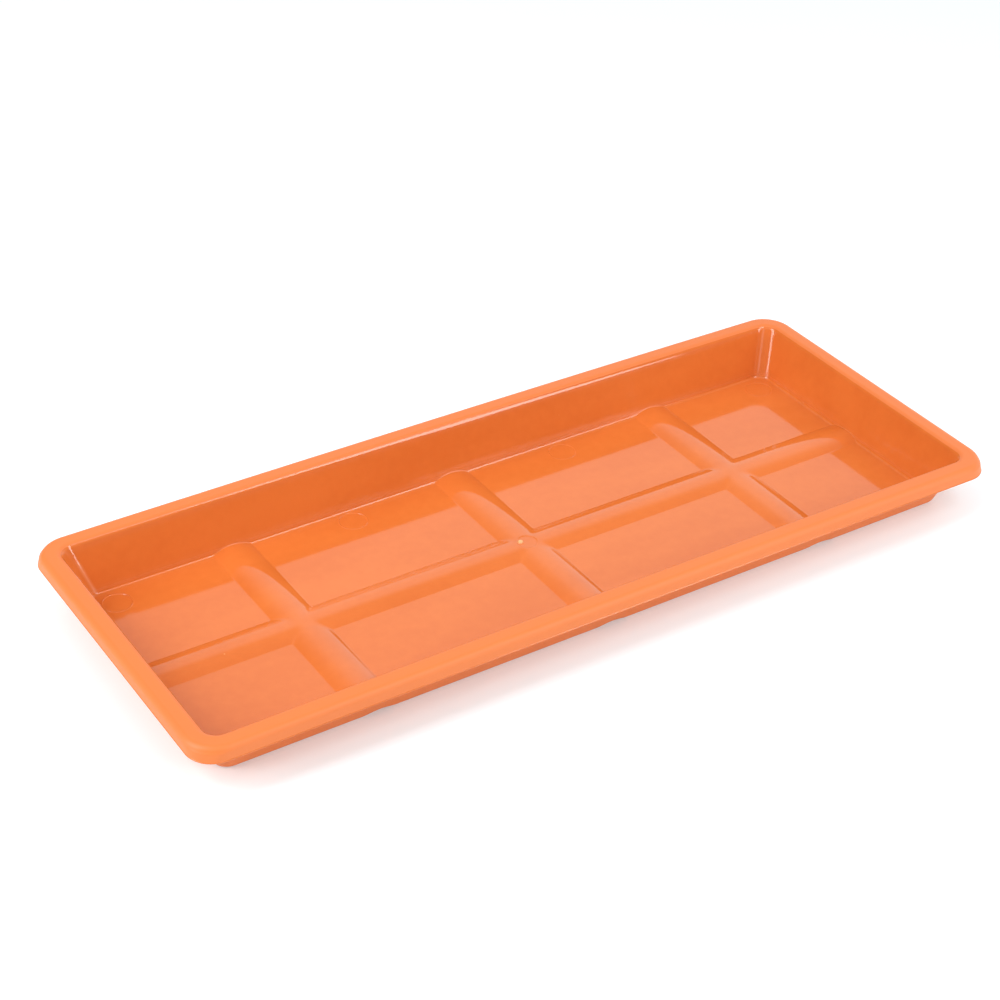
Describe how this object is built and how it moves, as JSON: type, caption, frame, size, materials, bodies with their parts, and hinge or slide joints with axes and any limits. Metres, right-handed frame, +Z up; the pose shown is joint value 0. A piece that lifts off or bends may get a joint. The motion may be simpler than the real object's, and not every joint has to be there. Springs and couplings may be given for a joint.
{
  "type": "rectangular plant saucer",
  "caption": "Shallow rectangular tray with sloping walls, a flat rim with a turned-down skirt and a ribbed floor, for catching the water under a window box or pots.",
  "frame": {"origin": "middle of the footprint, on the surface that the saucer stands on", "axes": "+X along the length, +Y across the width, +Z up, out of the tray's mouth"},
  "size_m": [0.4, 0.162, 0.026],
  "materials": {
    "terracotta_plastic": "glossy moulded polypropylene, terracotta orange"
  },
  "bodies": {
    "root": {"saucer": "terracotta_plastic"}
  },
  "joints": []
}
